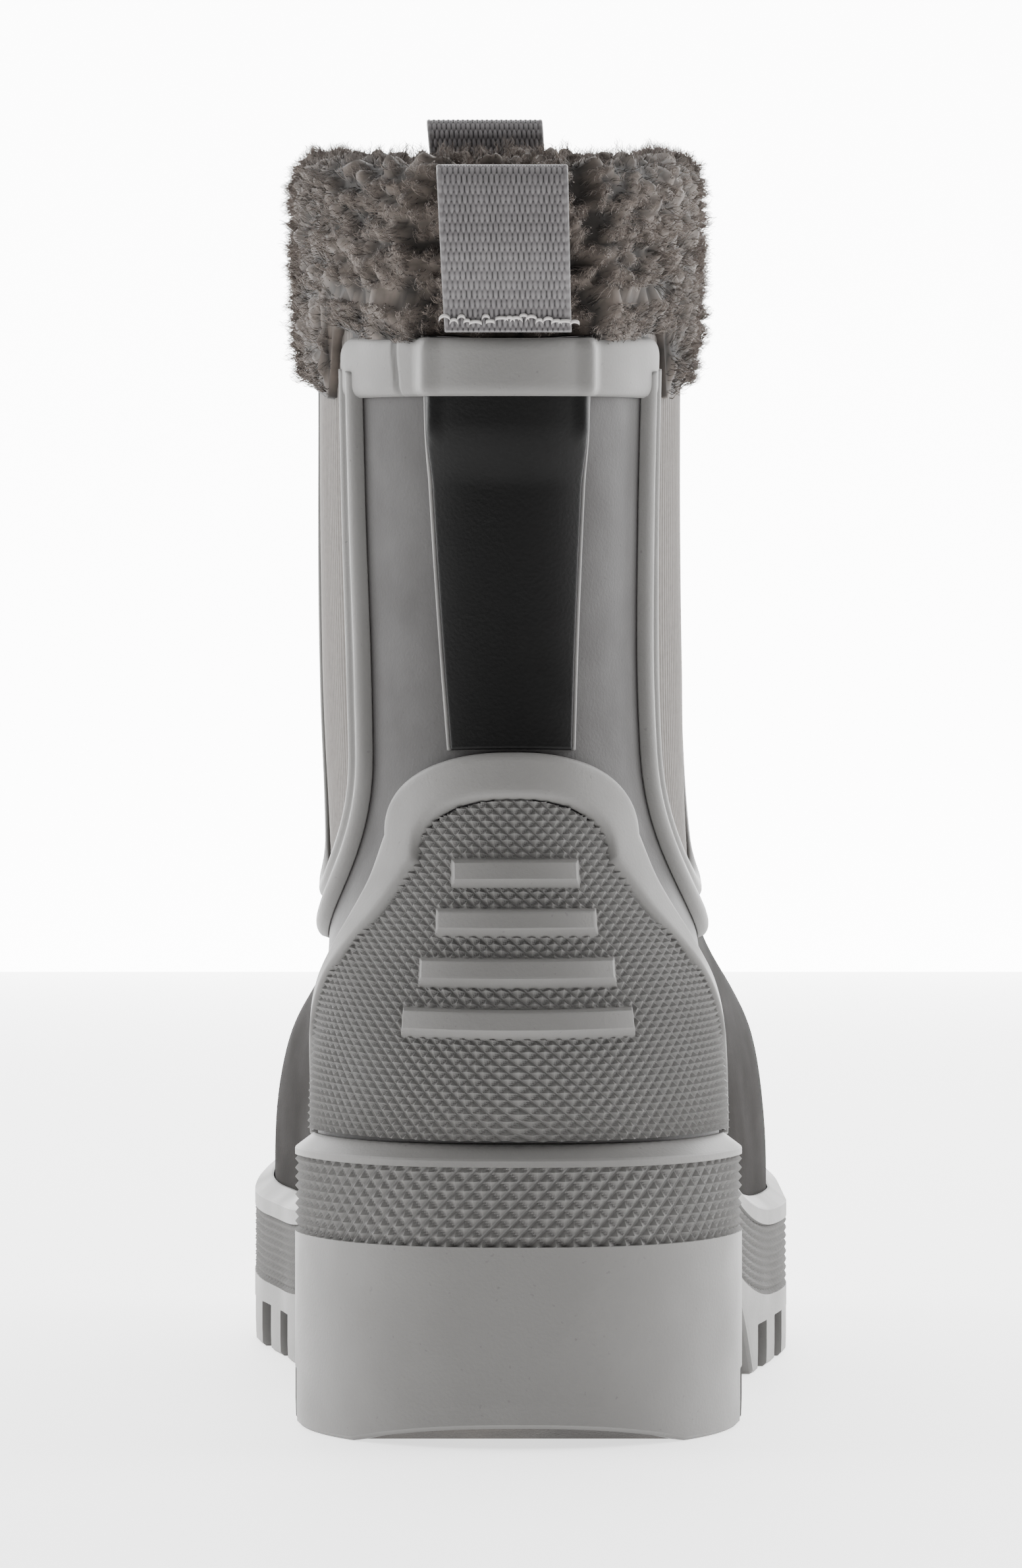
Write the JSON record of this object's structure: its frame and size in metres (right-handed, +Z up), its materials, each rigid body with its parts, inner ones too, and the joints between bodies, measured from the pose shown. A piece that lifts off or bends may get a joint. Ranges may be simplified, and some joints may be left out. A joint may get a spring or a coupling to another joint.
{
  "type": "deck boot",
  "caption": "Pull-on right deck boot: rubber upper with elastic side gores, pile cuff, webbing pull loops and a thick lugged sole.",
  "frame": {"origin": "centre of the boot's footprint box on the ground", "axes": "+Y towards the toe, +X towards the outer side of the foot, +Z up"},
  "size_m": [0.1192, 0.288, 0.2688],
  "materials": {
    "tread": "matt",
    "light_rubber": "matt, knurled band",
    "foam": "closed-cell foam",
    "shank_steel": "rolled",
    "board": "fibre board",
    "lining_cloth": "brushed",
    "dark_rubber": "satin",
    "gore_cloth": "woven elastic",
    "black_rubber": "satin",
    "pile_cloth": "curly pile",
    "webbing": "woven"
  },
  "bodies": {
    "boot": {"outsole": "tread", "sidewall": "light_rubber", "heel_plug": "foam", "midsole": "foam", "shank": "shank_steel", "insole_board": "board", "footbed": "foam", "footbed_cover": "lining_cloth", "quarter_shell": "dark_rubber", "vamp_shell": "dark_rubber", "gore_outer": "gore_cloth", "gore_inner": "gore_cloth", "gore_piping_outer": "light_rubber", "gore_piping_inner": "light_rubber", "heel_counter": "light_rubber", "back_strip": "black_rubber", "back_binding": "light_rubber", "front_binding": "light_rubber", "heel_stiffener": "board", "toe_puff": "board", "lining": "lining_cloth", "cuff": "pile_cloth", "cuff_foam": "foam", "back_loop_anchor": "webbing", "front_loop_anchor": "webbing"},
    "back_loop": {"back_pull_loop": "webbing"},
    "front_loop": {"front_pull_loop": "webbing"}
  },
  "joints": [
    {"name": "back_loop_fold", "type": "hinge", "parent": "boot", "child": "back_loop", "pos_m": [0, -0.13595, 0.2112], "axis": [1, 0, 0], "range_deg": [0, 85], "stiffness_Nm_per_rad": 0.01},
    {"name": "front_loop_fold", "type": "hinge", "parent": "boot", "child": "front_loop", "pos_m": [0, 0.00295, 0.2327], "axis": [-1, 0, 0], "range_deg": [0, 85], "stiffness_Nm_per_rad": 0.01}
  ]
}
